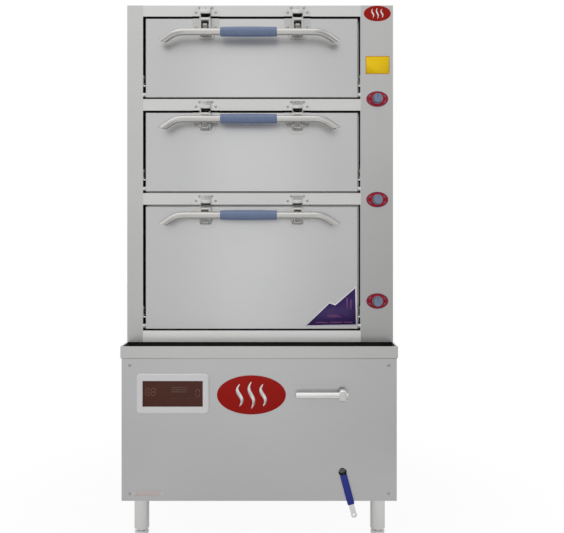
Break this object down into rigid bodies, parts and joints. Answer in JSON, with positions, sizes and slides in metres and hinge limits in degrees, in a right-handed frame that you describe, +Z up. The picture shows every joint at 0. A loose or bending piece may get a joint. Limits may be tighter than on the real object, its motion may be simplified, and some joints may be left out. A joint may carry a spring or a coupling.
{
  "type": "three-door steam cabinet",
  "caption": "Stainless steam cabinet for rice noodle rolls: flap doors with twin-latch bar handles over an induction-heated base on levelling feet.",
  "frame": {"origin": "on the floor under the centre of the whole outline, levers and pipe stubs included", "axes": "+Z up, -Y is the front with the doors and controls, +X is to the right seen from the front"},
  "size_m": [0.95, 0.992, 1.86],
  "materials": {
    "steel_casing": "brushed stainless sheet",
    "steel_inner": "satin stainless sheet",
    "steel_polished": "polished stainless",
    "steel_cast": "blasted stainless casting",
    "grip_plastic": "blue-grey phenolic",
    "dial_red": "printed dark red",
    "display_grey": "light grey moulding",
    "display_dark": "dark red-brown window",
    "seal_silicone": "off-white silicone",
    "sleeve_blue": "dipped blue vinyl",
    "pipe_brass": "brass",
    "wool": "mineral wool",
    "unit_plastic": "black moulding"
  },
  "bodies": {
    "cabinet": {"base_side_panels": "steel_casing", "base_front_panel": "steel_casing", "base_back_panel": "steel_casing", "base_bottom_plate": "steel_casing", "deck_tray": "steel_casing", "legs": "steel_casing", "casing_sides": "steel_casing", "casing_top": "steel_casing", "casing_back": "steel_casing", "front_frame": "steel_casing", "column_cover": "steel_casing", "base_frame": "steel_inner", "water_tank": "steel_inner", "chamber_liners": "steel_inner", "steam_shelves": "steel_inner", "exhaust_duct": "steel_inner", "steam_manifold": "steel_inner", "drain_pipe": "steel_inner", "water_inlet": "steel_inner", "hinge_pins": "steel_polished", "keeper_plates": "steel_cast", "drain_valve_body": "steel_cast", "dial_plates": "dial_red", "display_bezel": "display_grey", "display_window": "display_dark", "door_gaskets": "seal_silicone", "steam_valves": "pipe_brass", "insulation": "wool", "induction_unit": "unit_plastic", "gear_switch": "unit_plastic", "cable_gland": "unit_plastic"},
    "door_1": {"door_1_skin": "steel_casing", "door_1_back": "steel_inner", "door_1_latches": "steel_cast"},
    "handle_1": {"handle_1_bar": "steel_polished", "handle_1_grip": "grip_plastic", "handle_1_levers": "steel_cast"},
    "steam_knob_1": {"steam_knob_1": "grip_plastic"},
    "door_2": {"door_2_skin": "steel_casing", "door_2_back": "steel_inner", "door_2_latches": "steel_cast"},
    "handle_2": {"handle_2_bar": "steel_polished", "handle_2_grip": "grip_plastic", "handle_2_levers": "steel_cast"},
    "steam_knob_2": {"steam_knob_2": "grip_plastic"},
    "door_3": {"door_3_skin": "steel_casing", "door_3_back": "steel_inner", "door_3_latches": "steel_cast"},
    "handle_3": {"handle_3_bar": "steel_polished", "handle_3_grip": "grip_plastic", "handle_3_levers": "steel_cast"},
    "steam_knob_3": {"steam_knob_3": "grip_plastic"},
    "gear_lever": {"gear_lever": "steel_polished"},
    "drain_lever": {"drain_lever": "steel_polished", "drain_lever_sleeve": "sleeve_blue"},
    "foot_1": {"foot_1": "steel_polished"},
    "foot_2": {"foot_2": "steel_polished"},
    "foot_3": {"foot_3": "steel_polished"},
    "foot_4": {"foot_4": "steel_polished"},
    "fan_rotor": {"fan_rotor": "unit_plastic"}
  },
  "joints": [
    {"name": "door_1_hinge", "type": "hinge", "parent": "cabinet", "child": "door_1", "pos_m": [-0.03, -0.33, 1.543], "axis": [1, 0, 0], "range_deg": [0, 90]},
    {"name": "door_2_hinge", "type": "hinge", "parent": "cabinet", "child": "door_2", "pos_m": [-0.03, -0.33, 1.208], "axis": [1, 0, 0], "range_deg": [0, 90]},
    {"name": "door_3_hinge", "type": "hinge", "parent": "cabinet", "child": "door_3", "pos_m": [-0.03, -0.33, 0.719], "axis": [1, 0, 0], "range_deg": [0, 90]},
    {"name": "handle_1_turn", "type": "hinge", "parent": "door_1", "child": "handle_1", "pos_m": [-0.03, -0.358, 1.763], "axis": [1, 0, 0], "range_deg": [-38, 0]},
    {"name": "handle_2_turn", "type": "hinge", "parent": "door_2", "child": "handle_2", "pos_m": [-0.03, -0.358, 1.428], "axis": [1, 0, 0], "range_deg": [0, 38]},
    {"name": "handle_3_turn", "type": "hinge", "parent": "door_3", "child": "handle_3", "pos_m": [-0.03, -0.358, 1.093], "axis": [1, 0, 0], "range_deg": [0, 38]},
    {"name": "steam_knob_1_turn", "type": "hinge", "parent": "cabinet", "child": "steam_knob_1", "pos_m": [0.417, -0.35, 1.527], "axis": [0, 1, 0], "range_deg": [0, 270]},
    {"name": "steam_knob_2_turn", "type": "hinge", "parent": "cabinet", "child": "steam_knob_2", "pos_m": [0.417, -0.35, 1.169], "axis": [0, 1, 0], "range_deg": [0, 270]},
    {"name": "steam_knob_3_turn", "type": "hinge", "parent": "cabinet", "child": "steam_knob_3", "pos_m": [0.417, -0.35, 0.808], "axis": [0, 1, 0], "range_deg": [0, 270]},
    {"name": "gear_lever_turn", "type": "hinge", "parent": "cabinet", "child": "gear_lever", "pos_m": [0.284, -0.446, 0.501], "axis": [0, 1, 0], "range_deg": [0, 90]},
    {"name": "drain_lever_turn", "type": "hinge", "parent": "cabinet", "child": "drain_lever", "pos_m": [0.2854, -0.431, 0.232], "axis": [0, 1, 0], "range_deg": [0, 75]},
    {"name": "foot_1_screw", "type": "slide", "parent": "cabinet", "child": "foot_1", "axis": [0, 0, 1], "range_m": [-0.03, 0.008]},
    {"name": "foot_2_screw", "type": "slide", "parent": "cabinet", "child": "foot_2", "axis": [0, 0, 1], "range_m": [-0.03, 0.008]},
    {"name": "foot_3_screw", "type": "slide", "parent": "cabinet", "child": "foot_3", "axis": [0, 0, 1], "range_m": [-0.03, 0.008]},
    {"name": "foot_4_screw", "type": "slide", "parent": "cabinet", "child": "foot_4", "axis": [0, 0, 1], "range_m": [-0.03, 0.008]},
    {"name": "fan_spin", "type": "hinge", "parent": "cabinet", "child": "fan_rotor", "pos_m": [-0.295, 0.344, 0.262], "axis": [0, 1, 0], "continuous": true}
  ]
}
